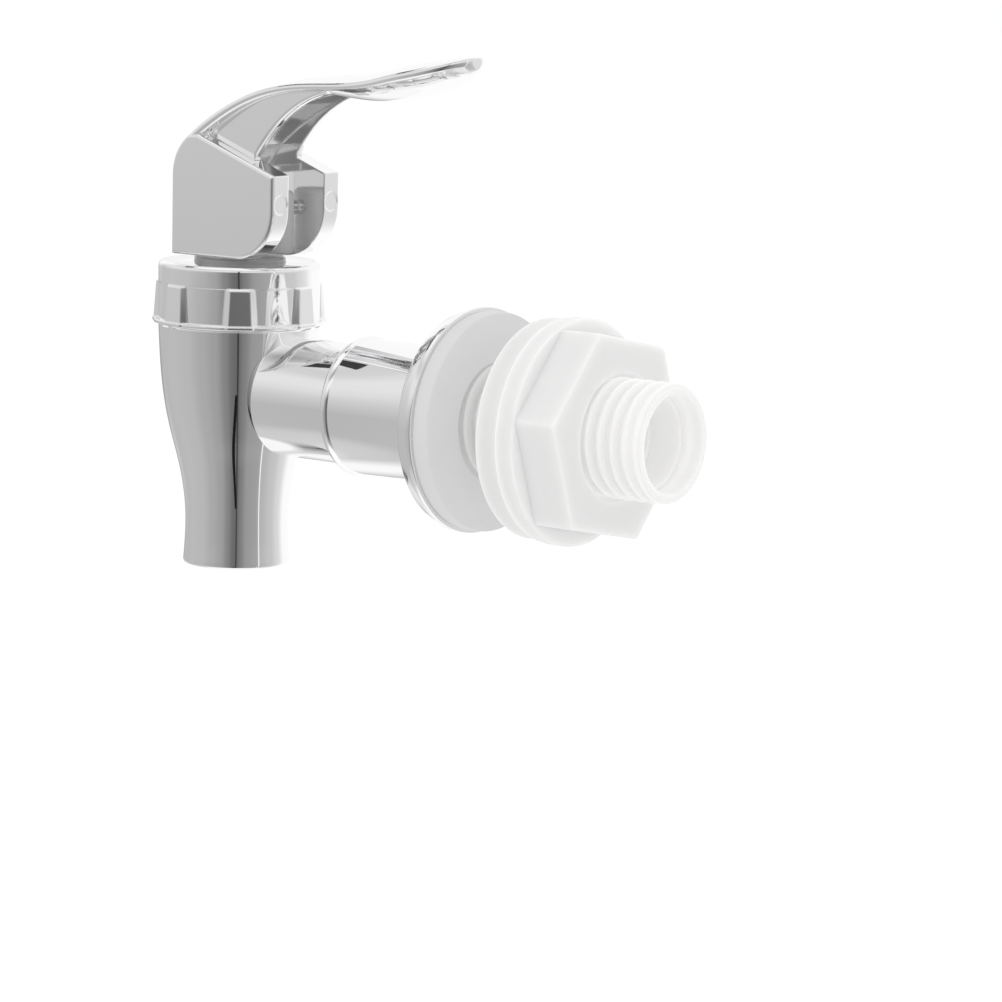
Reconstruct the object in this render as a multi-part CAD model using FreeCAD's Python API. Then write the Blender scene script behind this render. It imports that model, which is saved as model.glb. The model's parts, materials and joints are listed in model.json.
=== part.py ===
import FreeCAD, Part
import math
import os

# Lever spigot for a beverage dispenser, millimetres.
# The origin is the centre of the face that the outer gasket lays on the tank wall.
# X runs along the threaded shank into the tank, Z is up, and the spout hangs down on the -X side.

V = FreeCAD.Vector
X_DIR = V(1, 0, 0)
Y_DIR = V(0, 1, 0)
Z_DIR = V(0, 0, 1)

# A cut runs this far past the face it opens, and points this near count as one place
CUT_OVERRUN = 1.0
NEAR = 0.01

# Driving dimensions of the body
WALL_TO_BODY_AXIS = 45.8
SPOUT_END_Z = -24.5
SPOUT_LIP_RADIUS = 7.55
SPOUT_LIP_ROUND = 0.5
SPOUT_BORE_RADIUS = 4.85
WAIST_Z = -17.8
WAIST_RADIUS = 7.3
TAPER_Z = -10.0
TAPER_RADIUS = 8.4
SWELL_Z = -5.0
SWELL_RADIUS = 9.7
BELLY_Z = 1.0
BELLY_RADIUS = 10.75
SHOULDER_Z = 9.3
SHOULDER_RADIUS = 11.35
NECK_RADIUS = 9.9
NECK_TOP_Z = 14.6
CHAMBER_RADIUS = 8.4
CHAMBER_TAPER_Z = 2.5
CHAMBER_FLOOR_Z = -8.0
CHAMBER_FLOOR_RADIUS = 7.0
SEAT_HEIGHT = 0.6
SEAT_WIDTH = 0.8

# Driving dimensions of the inlet arm
ARM_RADIUS = 8.3
ARM_BORE_RADIUS = 5.5
BEAD_CENTRE = 23.5
BEAD_RADIUS = 9.65
BEAD_HALF_WIDTH = 0.85
SLEEVE_RADIUS = 9.3
FLANGE_RADIUS = 15.3
FLANGE_RIM = 0.75
FLANGE_BAND = 2.0
FLANGE_BAND_INSET = 0.8
FLANGE_BAND_RADIUS = FLANGE_RADIUS - FLANGE_BAND_INSET
FLANGE_BAND_BULGE = 0.08
FLANGE_BAND_ROUND = 0.35
FLANGE_DOME = 0.45
FLANGE_DOME_INSET = 3.3
FLANGE_DOME_RADIUS = FLANGE_RADIUS - FLANGE_DOME_INSET
FLANGE_DOME_BULGE = 0.1
FLANGE_HUB_RADIUS = 10.0
FLANGE_HUB_LENGTH = 1.9
FLANGE_HUB_HOLLOW = 0.3
FLANGE_RIM_ROUND = 0.15
ARM_FILLET = 0.6
SADDLE_MARGIN = 3.0

# Driving dimensions of the shank and what clamps the tank wall
SHANK_RADIUS = 8.0
SHANK_END_X = 29.4
SHANK_BORE_RADIUS = 5.6
SHANK_MOUTH_RADIUS = 6.6
SHANK_MOUTH_DEPTH = 3.4
SHANK_STEP_RADIUS = 6.1
SHANK_STEP_DEPTH = 8.0
SHANK_SOCKET_DEPTH = 17.8
SHANK_END_CHAMFER = 0.4
SHANK_FIT = 0.05
SHANK_SEAL_THICKNESS = 1.5
SHANK_SEAL_SQUEEZE_GAP = 0.2
OUTER_GASKET_THICKNESS = 2.5
GASKET_INSET = 0.5
GASKET_RADIUS = FLANGE_RADIUS - GASKET_INSET
GASKET_BORE_CLEARANCE = 0.1
GASKET_EDGE_ROUND = 0.3
WALL_GAP = 8.0
INNER_GASKET_THICKNESS = 3.4
NUT_TO_GASKET = 0.1
NUT_FLANGE_RADIUS = 15.2
NUT_FLANGE_THICKNESS = 2.9
NUT_ACROSS_FLATS = 25.8
NUT_HEX_LENGTH = 6.2
NUT_CORNER_ROUND = 0.6
NUT_END_ROUND = 0.35
NUT_BORE_CLEARANCE = 0.1
NUT_BORE_CHAMFER = 0.6
NUT_TURN_DEG = 48.6

# Driving dimensions of the screwed collar and the guide under it
COLLAR_HEIGHT = 8.6
COLLAR_TO_SHOULDER = 0.4
COLLAR_BAND_RADIUS = 11.4
COLLAR_BAND_HEIGHT = 3.0
COLLAR_TOP_ROUND = 0.7
COLLAR_RECESS_DEPTH = 0.1
COLLAR_LIP_RADIUS = 12.0
COLLAR_LIP_HEIGHT = 0.5
COLLAR_LIP_ROUND = 0.12
COLLAR_ROOF = 1.45
COLLAR_THREAD_CLEARANCE = 0.15
PAD_COUNT = 7
PAD_FIRST_DEG = -48.4
PAD_TOP_RADIUS = 11.7
PAD_BOTTOM_RADIUS = 12.0
PAD_TOP_FACE = 2.8
PAD_BOTTOM_FACE = 3.3
PAD_TOP_BASE = 4.0
PAD_BOTTOM_BASE = 4.7
PAD_BASE_SINK = 0.1
PAD_ROOT_SINK = 0.9
PAD_EDGE_ROUND = 0.18
PAD_FOOT_PROUD = 0.12
PAD_FOOT_MARGIN = 0.1
GUIDE_FLANGE_THICKNESS = 1.0
GUIDE_FLANGE_CLEARANCE = 0.35
GUIDE_BOSS_RADIUS = 6.4
GUIDE_BOSS_CLEARANCE = 0.1
GUIDE_BOSS_PROUD = 0.7
GUIDE_TUBE_RADIUS = 3.8
GUIDE_TUBE_LENGTH = 3.8
GUIDE_TOP_CHAMFER = 0.25
GUIDE_ROOF_CLEARANCE = 0.03

# Driving dimensions of the seat cup, the stem and the spring
CUP_RIM_THICKNESS = 1.2
CUP_RIM_CLEARANCE = 0.15
CUP_RADIUS = 6.3
CUP_WALL = 0.9
CUP_FLOOR_TOP_Z = -2.2
CUP_EDGE = 0.4
CUP_RIM_FILLET = 1.0
STEM_RADIUS = 2.5
STEM_FIT = 0.06
STEM_BUTTON_RADIUS = 3.3
STEM_BUTTON_HEIGHT = 1.4
STEM_BUTTON_Z = -5.2
STEM_NECK_RADIUS = 1.9
STEM_SHOULDER_RADIUS = 5.0
STEM_SHOULDER_Z = 1.2
STEM_SHOULDER_HEIGHT = 1.3
STEM_TOP_ABOVE_PIN = 2.6
STEM_TOP_ROUND = 0.8
SOCKET_CLEARANCE = 0.05
SPRING_WIRE_RADIUS = 0.42
SPRING_MEAN_RADIUS = 4.45
SPRING_TURNS = 5.5
SPRING_POINTS_A_TURN = 8
SPRING_END_GAP = 0.03

# Driving dimensions of the lever head
PIN_Z = 25.2
PIN_RADIUS = 1.0
PIN_FIT = 0.04
PIN_SOCKET_DEPTH = 2.0
PIN_END_GAP = 0.1
HEAD_HALF_WIDTH = 7.2
CHANNEL_HALF_WIDTH = 3.8
WEB_HALF_WIDTH = 5.0
HEAD_BOTTOM_GAP = 0.2
HEAD_BACK_X = -6.6
HEAD_FRONT_X = 12.0
HEAD_CAM_RADIUS = 7.0
HEAD_FRONT_TOP_Z = 31.1
HEAD_RIDGE_X = -2.0
HEAD_RIDGE_Z = 36.2
HEAD_BACK_TOP_Z = 30.6
HEAD_NAPE_BULGE = 0.75
HEAD_EDGE_ROUND = 0.5
BACK_SLOT_TOP_Z = 29.6
BACK_SKIN = 1.4
FRONT_MARK_RADIUS = 1.35
FRONT_MARK_DEPTH = 0.15
FRONT_MARK_Y = 5.35
FRONT_MARK_Z = 27.1
CEILING_SHIFT = 1.0
CEILING_DROP = 0.5
CHANNEL_END_RUN = 0.6
CHANNEL_END_DROP = 0.3
CHANNEL_MOUTH_DROP = 3.0
CHANNEL_MOUTH_RUN = 5.0

# Stations along the lever's blade from the body axis:
# place, height of the top, half width, edge thickness, crown and belly
BLADE_STATIONS = [
    (-3.6, 36.2, 7.1, 1.6, 0.15, 0.10),
    (0.0, 38.9, 7.0, 1.5, 0.20, 0.10),
    (4.5, 41.5, 6.7, 1.3, 0.30, 0.10),
    (9.5, 43.5, 6.3, 1.1, 0.50, 0.10),
    (15.0, 44.6, 5.9, 1.0, 0.70, 0.40),
    (21.0, 45.2, 5.8, 1.0, 0.95, 1.20),
    (27.0, 46.1, 6.0, 1.1, 1.15, 2.00),
    (32.0, 47.3, 6.1, 1.2, 1.20, 2.40),
]
BLADE_TIP_X = 41.6
BLADE_TIP_Z = 49.0
BLADE_TIP_THICKNESS = 1.2
BLADE_TIP_STEPS = 5
BLADE_TIP_SWEEP_DEG = 80
BLADE_TIP_SAG = 0.5
BLADE_EDGE_BULGE = 0.35
BLADE_EDGE_SHARE = 0.33
WEB_SINK = 1.0
WEB_EDGE_ROUND = 0.4
WEB_STATIONS = 5
WEB_FOOT_X = 6.9
WEB_FOOT_Z = 33.4
WEB_BEND_X = 9.4
WEB_BEND_Z = 36.7
WEB_MID_X = 13.2
WEB_MID_Z = 40.0
WEB_END_X = 19.5
WEB_END_Z = 42.7

AXIS_X = -WALL_TO_BODY_AXIS
GASKET_BACK_X = -OUTER_GASKET_THICKNESS
SHANK_START_X = GASKET_BACK_X - SHANK_SOCKET_DEPTH
INNER_GASKET_X = WALL_GAP
NUT_X = INNER_GASKET_X + INNER_GASKET_THICKNESS + NUT_TO_GASKET
COLLAR_BOTTOM_Z = SHOULDER_Z + COLLAR_TO_SHOULDER
COLLAR_TOP_Z = COLLAR_BOTTOM_Z + COLLAR_HEIGHT
COLLAR_ROOF_Z = COLLAR_TOP_Z - COLLAR_ROOF
COLLAR_BORE = NECK_RADIUS + COLLAR_THREAD_CLEARANCE
GUIDE_FLANGE_TOP_Z = COLLAR_ROOF_Z - GUIDE_ROOF_CLEARANCE
GUIDE_FLANGE_Z = GUIDE_FLANGE_TOP_Z - GUIDE_FLANGE_THICKNESS
GUIDE_TOP_Z = COLLAR_TOP_Z + GUIDE_BOSS_PROUD
SEAT_Z = CHAMBER_FLOOR_Z + SEAT_HEIGHT
HEAD_BOTTOM_Z = GUIDE_TOP_Z + HEAD_BOTTOM_GAP


def at_axis(x, y, z):
    """Point given from the body's own vertical axis."""
    return V(AXIS_X + x, y, z)


def outline(points):
    """Closed wire of straight edges."""
    return Part.makePolygon(points + [points[0]])


def turned(profile, centre, axis):
    """Solid made by turning a closed flat wire once around an axis."""
    return Part.Face(profile).revolve(centre, axis, 360)


def turned_z(points):
    """Solid turned around the body axis from (radius, height) points."""
    return turned(outline([at_axis(r, 0, z) for r, z in points]), at_axis(0, 0, 0), Z_DIR)


def turned_x(points):
    """Solid turned around the shank axis from (x, radius) points."""
    return turned(outline([V(x, 0, r) for x, r in points]), V(0, 0, 0), X_DIR)


def rod_z(radius, low, high):
    return Part.makeCylinder(radius, high - low, at_axis(0, 0, low), Z_DIR)


def rod_x(radius, start, end):
    return Part.makeCylinder(radius, end - start, V(start, 0, 0), X_DIR)


def rod_y(radius, x, z, half_width):
    return Part.makeCylinder(radius, 2 * half_width, at_axis(x, -half_width, z), Y_DIR)


def slab_y(wire, low, high):
    """Solid pushed along Y from a closed wire that lies in the plane y = 0."""
    face = Part.Face(wire)
    face.translate(V(0, low, 0))
    return face.extrude(V(0, high - low, 0))


def round_edges(solid, radius, chosen):
    return solid.makeFillet(radius, [edge for edge in solid.Edges if chosen(edge)])


def circle_edges_at(solid, along, place, radius):
    """Full circles of one radius that lie at one place along an axis."""
    found = []
    for edge in solid.Edges:
        if not isinstance(edge.Curve, Part.Circle):
            continue
        centre = edge.Curve.Center
        near = abs(centre.dot(along) - place) < NEAR
        if near and abs(edge.Curve.Radius - radius) < NEAR:
            found.append(edge)
    return found


def body_casting():
    """Bulb-shaped casting with its spout, neck, inlet arm and wall flange in one."""
    lip_z = SPOUT_END_Z + SPOUT_LIP_ROUND
    side = Part.BSplineCurve()
    side.interpolate([
        at_axis(SPOUT_LIP_RADIUS, 0, lip_z),
        at_axis(WAIST_RADIUS, 0, WAIST_Z),
        at_axis(TAPER_RADIUS, 0, TAPER_Z),
        at_axis(SWELL_RADIUS, 0, SWELL_Z),
        at_axis(BELLY_RADIUS, 0, BELLY_Z),
        at_axis(SHOULDER_RADIUS, 0, SHOULDER_Z),
    ])
    flat = SPOUT_LIP_RADIUS - SPOUT_LIP_ROUND
    turn = SPOUT_LIP_ROUND * (1 - math.sqrt(0.5))
    lip = Part.Arc(
        at_axis(flat, 0, SPOUT_END_Z),
        at_axis(SPOUT_LIP_RADIUS - turn, 0, SPOUT_END_Z + turn),
        at_axis(SPOUT_LIP_RADIUS, 0, lip_z),
    )
    corners = [
        at_axis(SHOULDER_RADIUS, 0, SHOULDER_Z),
        at_axis(NECK_RADIUS, 0, SHOULDER_Z),
        at_axis(NECK_RADIUS, 0, NECK_TOP_Z),
        at_axis(0, 0, NECK_TOP_Z),
        at_axis(0, 0, SPOUT_END_Z),
        at_axis(flat, 0, SPOUT_END_Z),
    ]
    edges = [lip.toShape(), side.toShape()]
    edges += [Part.LineSegment(a, b).toShape() for a, b in zip(corners, corners[1:])]
    bulb = turned(Part.Wire(edges), at_axis(0, 0, 0), Z_DIR)

    arm = rod_x(ARM_RADIUS, AXIS_X, AXIS_X + BEAD_CENTRE)
    joined = bulb.fuse(arm).removeSplitter()

    def on_saddle(edge):
        box = edge.BoundBox
        clear_of_axis = box.XMin > AXIS_X + SADDLE_MARGIN
        clear_of_bead = box.XMax < AXIS_X + BEAD_CENTRE - SADDLE_MARGIN
        return clear_of_axis and clear_of_bead and box.ZMin < 0 < box.ZMax

    joined = round_edges(joined, ARM_FILLET, on_saddle)
    joined = joined.fuse([bead(), sleeve_and_flange()]).removeSplitter()
    return joined.cut([flow_chamber(), rod_x(ARM_BORE_RADIUS, AXIS_X, SHANK_START_X), shank_socket()])


def bead():
    """Round ring where the arm steps up to the sleeve."""
    centre = AXIS_X + BEAD_CENTRE
    low = centre - BEAD_HALF_WIDTH
    high = centre + BEAD_HALF_WIDTH
    foot = (ARM_RADIUS + BEAD_RADIUS) / 2
    crown = Part.Arc(V(low, 0, foot), V(centre, 0, BEAD_RADIUS), V(high, 0, foot))
    corners = [V(high, 0, foot), V(high, 0, ARM_BORE_RADIUS), V(low, 0, ARM_BORE_RADIUS), V(low, 0, foot)]
    edges = [crown.toShape()]
    edges += [Part.LineSegment(a, b).toShape() for a, b in zip(corners, corners[1:])]
    return turned(Part.Wire(edges), V(0, 0, 0), X_DIR)


def bowed(start, end, bulge):
    """Arc between two points of a side view, pushed out to the left of its chord."""
    chord = end - start
    side = V(-chord.z, 0, chord.x).normalize()
    return Part.Arc(start, (start + end) / 2 + side * bulge, end).toShape()


def sleeve_and_flange():
    """Wider sleeve that holds the shank, then a stepped hub and the banded flange."""
    start = AXIS_X + BEAD_CENTRE
    rim_x = GASKET_BACK_X - FLANGE_RIM
    band_x = rim_x - FLANGE_BAND
    dome_x = band_x - FLANGE_DOME
    hub_x = dome_x - FLANGE_HUB_LENGTH
    step = [V(GASKET_BACK_X, 0, 0), V(start, 0, 0), V(start, 0, SLEEVE_RADIUS), V(hub_x, 0, SLEEVE_RADIUS)]
    step.append(V(hub_x, 0, FLANGE_HUB_RADIUS))
    dome = V(dome_x, 0, FLANGE_DOME_RADIUS)
    band = V(band_x, 0, FLANGE_BAND_RADIUS)
    rim = [V(rim_x, 0, FLANGE_RADIUS), V(GASKET_BACK_X, 0, FLANGE_RADIUS), V(GASKET_BACK_X, 0, 0)]
    edges = [Part.LineSegment(a, b).toShape() for a, b in zip(step, step[1:])]
    edges.append(bowed(step[-1], dome, -FLANGE_HUB_HOLLOW))
    edges.append(bowed(dome, band, FLANGE_DOME_BULGE))
    edges.append(bowed(band, rim[0], FLANGE_BAND_BULGE))
    edges += [Part.LineSegment(a, b).toShape() for a, b in zip(rim, rim[1:])]
    solid = turned(Part.Wire(edges), V(0, 0, 0), X_DIR)
    corners = circle_edges_at(solid, X_DIR, rim_x, FLANGE_RADIUS)
    corners += circle_edges_at(solid, X_DIR, GASKET_BACK_X, FLANGE_RADIUS)
    solid = solid.makeFillet(FLANGE_RIM_ROUND, corners)
    return solid.makeFillet(FLANGE_BAND_ROUND, circle_edges_at(solid, X_DIR, band_x, FLANGE_BAND_RADIUS))


def flow_chamber():
    """Room for the seat cup, open at the neck, with a raised seat ring over the spout bore."""
    seat_outer = SPOUT_BORE_RADIUS + SEAT_WIDTH
    room = turned_z([
        (0, NECK_TOP_Z),
        (CHAMBER_RADIUS, NECK_TOP_Z),
        (CHAMBER_RADIUS, CHAMBER_TAPER_Z),
        (CHAMBER_FLOOR_RADIUS, CHAMBER_FLOOR_Z),
        (seat_outer, CHAMBER_FLOOR_Z),
        (seat_outer, SEAT_Z),
        (0, SEAT_Z),
    ])
    return room.fuse(rod_z(SPOUT_BORE_RADIUS, SPOUT_END_Z, SEAT_Z))


def shank_socket():
    return rod_x(SHANK_RADIUS + SHANK_FIT, SHANK_START_X, GASKET_BACK_X)


def shank():
    """Threaded tube, its thread left plain at the crest diameter, with a stepped mouth."""
    seal_end = SHANK_START_X + SHANK_SEAL_THICKNESS + SHANK_SEAL_SQUEEZE_GAP
    tube = rod_x(SHANK_RADIUS, seal_end, SHANK_END_X)
    tube = tube.makeChamfer(SHANK_END_CHAMFER, circle_edges_at(tube, X_DIR, SHANK_END_X, SHANK_RADIUS))
    return tube.cut([
        rod_x(SHANK_BORE_RADIUS, seal_end, SHANK_END_X),
        rod_x(SHANK_STEP_RADIUS, SHANK_END_X - SHANK_STEP_DEPTH, SHANK_END_X),
        rod_x(SHANK_MOUTH_RADIUS, SHANK_END_X - SHANK_MOUTH_DEPTH, SHANK_END_X),
    ])


def flat_ring(start, thickness, inner, outer, edge_round):
    """Flat ring around the shank axis with softened outer corners."""
    disc = rod_x(outer, start, start + thickness)
    corners = circle_edges_at(disc, X_DIR, start, outer)
    corners += circle_edges_at(disc, X_DIR, start + thickness, outer)
    disc = disc.makeFillet(edge_round, corners)
    return disc.cut(rod_x(inner, start, start + thickness))


def shank_seal():
    inner = SHANK_BORE_RADIUS
    outer = SHANK_RADIUS - SHANK_SEAL_SQUEEZE_GAP
    return flat_ring(SHANK_START_X, SHANK_SEAL_THICKNESS, inner, outer, GASKET_EDGE_ROUND)


def gasket(start, thickness):
    inner = SHANK_RADIUS + GASKET_BORE_CLEARANCE
    return flat_ring(start, thickness, inner, GASKET_RADIUS, GASKET_EDGE_ROUND)


def mounting_nut():
    """Six-sided nut with a round flange that presses the inner gasket."""
    hex_x = NUT_X + NUT_FLANGE_THICKNESS
    end_x = hex_x + NUT_HEX_LENGTH
    corner = NUT_ACROSS_FLATS / math.sqrt(3)
    turns = [math.radians(NUT_TURN_DEG + 60 * k) for k in range(6)]
    six = outline([V(NUT_X, corner * math.cos(t), corner * math.sin(t)) for t in turns])
    prism = Part.Face(six).extrude(V(end_x - NUT_X, 0, 0))

    def along_x(edge):
        return edge.BoundBox.XLength > end_x - NUT_X - NEAR

    def at_end(edge):
        return edge.BoundBox.XMin > end_x - NEAR

    prism = round_edges(prism, NUT_CORNER_ROUND, along_x)
    prism = round_edges(prism, NUT_END_ROUND, at_end)
    flange = flat_ring(NUT_X, NUT_FLANGE_THICKNESS, SHANK_RADIUS, NUT_FLANGE_RADIUS, GASKET_EDGE_ROUND)
    bore = SHANK_RADIUS + NUT_BORE_CLEARANCE
    lead = turned_x([
        (end_x - NUT_BORE_CHAMFER, bore),
        (end_x, bore + NUT_BORE_CHAMFER),
        (end_x, 0),
        (end_x - NUT_BORE_CHAMFER, 0),
    ])
    return prism.fuse(flange).removeSplitter().cut([rod_x(bore, NUT_X, end_x), lead])


def pad_section(z, radius, face, base):
    """Flat six-cornered outline across one grip pad."""
    base_radius = COLLAR_BAND_RADIUS - COLLAR_RECESS_DEPTH - PAD_BASE_SINK
    root = base_radius - PAD_ROOT_SINK
    return outline([
        at_axis(root, -base / 2, z),
        at_axis(base_radius, -base / 2, z),
        at_axis(radius, -face / 2, z),
        at_axis(radius, face / 2, z),
        at_axis(base_radius, base / 2, z),
        at_axis(root, base / 2, z),
    ])


def collar_pad(angle):
    """Raised grip pad with bevelled flanks, wider and prouder at its foot, where the lip follows it."""
    lip_top = COLLAR_BOTTOM_Z + COLLAR_LIP_HEIGHT
    high = COLLAR_TOP_Z - COLLAR_BAND_HEIGHT
    pad = Part.makeLoft([
        pad_section(lip_top, PAD_BOTTOM_RADIUS, PAD_BOTTOM_FACE, PAD_BOTTOM_BASE),
        pad_section(high, PAD_TOP_RADIUS, PAD_TOP_FACE, PAD_TOP_BASE),
    ], True, True)

    def on_face(edge):
        box = edge.BoundBox
        proud = AXIS_X + PAD_TOP_RADIUS - NEAR
        return box.XMin > proud and box.ZMax > lip_top + NEAR

    pad = round_edges(pad, PAD_EDGE_ROUND, on_face)
    wider = 2 * PAD_FOOT_MARGIN
    foot_outline = pad_section(
        COLLAR_BOTTOM_Z,
        PAD_BOTTOM_RADIUS + PAD_FOOT_PROUD,
        PAD_BOTTOM_FACE + wider,
        PAD_BOTTOM_BASE + wider)
    foot = Part.Face(foot_outline).extrude(V(0, 0, COLLAR_LIP_HEIGHT))
    grip = pad.fuse(foot)
    grip.rotate(at_axis(0, 0, 0), Z_DIR, angle)
    return grip


def collar():
    """Screwed ring that holds the guide and the seat cup down on the neck."""
    band_low = COLLAR_TOP_Z - COLLAR_BAND_HEIGHT
    lip_top = COLLAR_BOTTOM_Z + COLLAR_LIP_HEIGHT
    recess = COLLAR_BAND_RADIUS - COLLAR_RECESS_DEPTH
    skin = turned_z([
        (0, COLLAR_BOTTOM_Z),
        (COLLAR_LIP_RADIUS, COLLAR_BOTTOM_Z),
        (COLLAR_LIP_RADIUS, lip_top),
        (recess, lip_top),
        (recess, band_low),
        (COLLAR_BAND_RADIUS, band_low),
        (COLLAR_BAND_RADIUS, COLLAR_TOP_Z),
        (0, COLLAR_TOP_Z),
    ])
    skin = skin.makeFillet(COLLAR_TOP_ROUND, circle_edges_at(skin, Z_DIR, COLLAR_TOP_Z, COLLAR_BAND_RADIUS))
    skin = skin.makeFillet(COLLAR_LIP_ROUND, circle_edges_at(skin, Z_DIR, lip_top, COLLAR_LIP_RADIUS))
    pitch = 360 / PAD_COUNT
    pads = [collar_pad(PAD_FIRST_DEG + k * pitch) for k in range(PAD_COUNT)]
    ring = skin.fuse(pads).removeSplitter()
    hole = GUIDE_BOSS_RADIUS + GUIDE_BOSS_CLEARANCE
    return ring.cut([
        rod_z(COLLAR_BORE, COLLAR_BOTTOM_Z, COLLAR_ROOF_Z),
        rod_z(hole, COLLAR_ROOF_Z, COLLAR_TOP_Z),
    ])


def stem_guide():
    """Bush that centres the stem and holds the spring's upper end."""
    flange = COLLAR_BORE - GUIDE_FLANGE_CLEARANCE
    tube_low = GUIDE_FLANGE_Z - GUIDE_TUBE_LENGTH
    solid = turned_z([
        (0, tube_low),
        (GUIDE_TUBE_RADIUS, tube_low),
        (GUIDE_TUBE_RADIUS, GUIDE_FLANGE_Z),
        (flange, GUIDE_FLANGE_Z),
        (flange, GUIDE_FLANGE_TOP_Z),
        (GUIDE_BOSS_RADIUS, GUIDE_FLANGE_TOP_Z),
        (GUIDE_BOSS_RADIUS, GUIDE_TOP_Z),
        (0, GUIDE_TOP_Z),
    ])
    solid = solid.makeChamfer(GUIDE_TOP_CHAMFER, circle_edges_at(solid, Z_DIR, GUIDE_TOP_Z, GUIDE_BOSS_RADIUS))
    return solid.cut(rod_z(STEM_RADIUS + STEM_FIT, tube_low, GUIDE_TOP_Z))


def seat_cup():
    """Silicone cup: a rim clamped under the guide, a thin wall and a thick floor that seals."""
    rim_low = GUIDE_FLANGE_Z - CUP_RIM_THICKNESS
    rim = COLLAR_BORE - GUIDE_FLANGE_CLEARANCE - CUP_RIM_CLEARANCE
    inner = CUP_RADIUS - CUP_WALL
    cup = turned_z([
        (0, SEAT_Z),
        (CUP_RADIUS - CUP_EDGE, SEAT_Z),
        (CUP_RADIUS, SEAT_Z + CUP_EDGE),
        (CUP_RADIUS, rim_low),
        (rim, rim_low),
        (rim, GUIDE_FLANGE_Z),
        (inner, GUIDE_FLANGE_Z),
        (inner, CUP_FLOOR_TOP_Z),
        (0, CUP_FLOOR_TOP_Z),
    ])
    cup = cup.makeFillet(CUP_RIM_FILLET, circle_edges_at(cup, Z_DIR, rim_low, CUP_RADIUS))
    head = rod_z(
        STEM_BUTTON_RADIUS + SOCKET_CLEARANCE,
        STEM_BUTTON_Z - SOCKET_CLEARANCE,
        STEM_BUTTON_Z + STEM_BUTTON_HEIGHT + SOCKET_CLEARANCE)
    neck = rod_z(STEM_NECK_RADIUS + SOCKET_CLEARANCE, STEM_BUTTON_Z, CUP_FLOOR_TOP_Z)
    return cup.cut([head, neck])


def stem():
    """Lifting rod with a button in the cup's floor, a spring shoulder and a pin hole."""
    button_top = STEM_BUTTON_Z + STEM_BUTTON_HEIGHT
    neck_top = CUP_FLOOR_TOP_Z + SOCKET_CLEARANCE
    shoulder_top = STEM_SHOULDER_Z + STEM_SHOULDER_HEIGHT
    top = PIN_Z + STEM_TOP_ABOVE_PIN
    rod = turned_z([
        (0, STEM_BUTTON_Z),
        (STEM_BUTTON_RADIUS, STEM_BUTTON_Z),
        (STEM_BUTTON_RADIUS, button_top),
        (STEM_NECK_RADIUS, button_top),
        (STEM_NECK_RADIUS, neck_top),
        (STEM_RADIUS, neck_top),
        (STEM_RADIUS, STEM_SHOULDER_Z),
        (STEM_SHOULDER_RADIUS, STEM_SHOULDER_Z),
        (STEM_SHOULDER_RADIUS, shoulder_top),
        (STEM_RADIUS, shoulder_top),
        (STEM_RADIUS, top),
        (0, top),
    ])
    rod = rod.makeFillet(STEM_TOP_ROUND, circle_edges_at(rod, Z_DIR, top, STEM_RADIUS))
    return rod.cut(rod_y(PIN_RADIUS + PIN_FIT, 0, PIN_Z, STEM_RADIUS + CUT_OVERRUN))


def return_spring():
    """Open coil between the stem's shoulder and the guide."""
    low = STEM_SHOULDER_Z + STEM_SHOULDER_HEIGHT + SPRING_WIRE_RADIUS + SPRING_END_GAP
    high = GUIDE_FLANGE_Z - SPRING_WIRE_RADIUS - SPRING_END_GAP
    count = round(SPRING_TURNS * SPRING_POINTS_A_TURN)
    points = []
    for k in range(count + 1):
        turn = 2 * math.pi * SPRING_TURNS * k / count
        x = SPRING_MEAN_RADIUS * math.cos(turn)
        y = SPRING_MEAN_RADIUS * math.sin(turn)
        points.append(at_axis(x, y, low + (high - low) * k / count))
    path = Part.BSplineCurve()
    path.interpolate(points)
    along = path.tangent(path.FirstParameter)[0]
    wire = Part.Wire(Part.makeCircle(SPRING_WIRE_RADIUS, points[0], along))
    return Part.Wire(path.toShape()).makePipeShell([wire], True, True)


def lever_pin():
    """Cross pin that the cheeks snap over, hidden in blind sockets."""
    return rod_y(PIN_RADIUS, 0, PIN_Z, CHANNEL_HALF_WIDTH + PIN_SOCKET_DEPTH - PIN_END_GAP)


def blade_section(x, top, half, edge, crown, belly):
    """Closed smooth outline across the blade at one station."""
    side_top = top - crown
    side_low = side_top - edge
    side_mid = side_top - edge / 2
    low = side_low - belly
    inset = half - min(BLADE_EDGE_BULGE, half * BLADE_EDGE_SHARE)
    up = Part.Arc(at_axis(x, inset, side_top), at_axis(x, 0, top), at_axis(x, -inset, side_top))
    near = Part.Arc(at_axis(x, -inset, side_top), at_axis(x, -half, side_mid), at_axis(x, -inset, side_low))
    down = Part.Arc(at_axis(x, -inset, side_low), at_axis(x, 0, low), at_axis(x, inset, side_low))
    far = Part.Arc(at_axis(x, inset, side_low), at_axis(x, half, side_mid), at_axis(x, inset, side_top))
    return Part.Wire([up.toShape(), near.toShape(), down.toShape(), far.toShape()])


def blade():
    """Curved blade that widens to an upturned thumb paddle with a round end."""
    stations = list(BLADE_STATIONS)
    last_x, last_top, last_half, last_edge, last_crown, last_belly = stations[-1]
    reach = BLADE_TIP_X - last_x
    for k in range(1, BLADE_TIP_STEPS + 1):
        turn = math.radians(BLADE_TIP_SWEEP_DEG * k / BLADE_TIP_STEPS)
        shrink = math.cos(turn)
        along = math.sin(turn)
        top = last_top + (BLADE_TIP_Z - last_top) * along
        stations.append((
            last_x + reach * along,
            top - last_crown * (1 - shrink) * BLADE_TIP_SAG,
            last_half * shrink,
            last_edge + (BLADE_TIP_THICKNESS - last_edge) * along,
            last_crown * shrink * shrink,
            last_belly * shrink,
        ))
    return Part.makeLoft([blade_section(*station) for station in stations], True, False)


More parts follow.
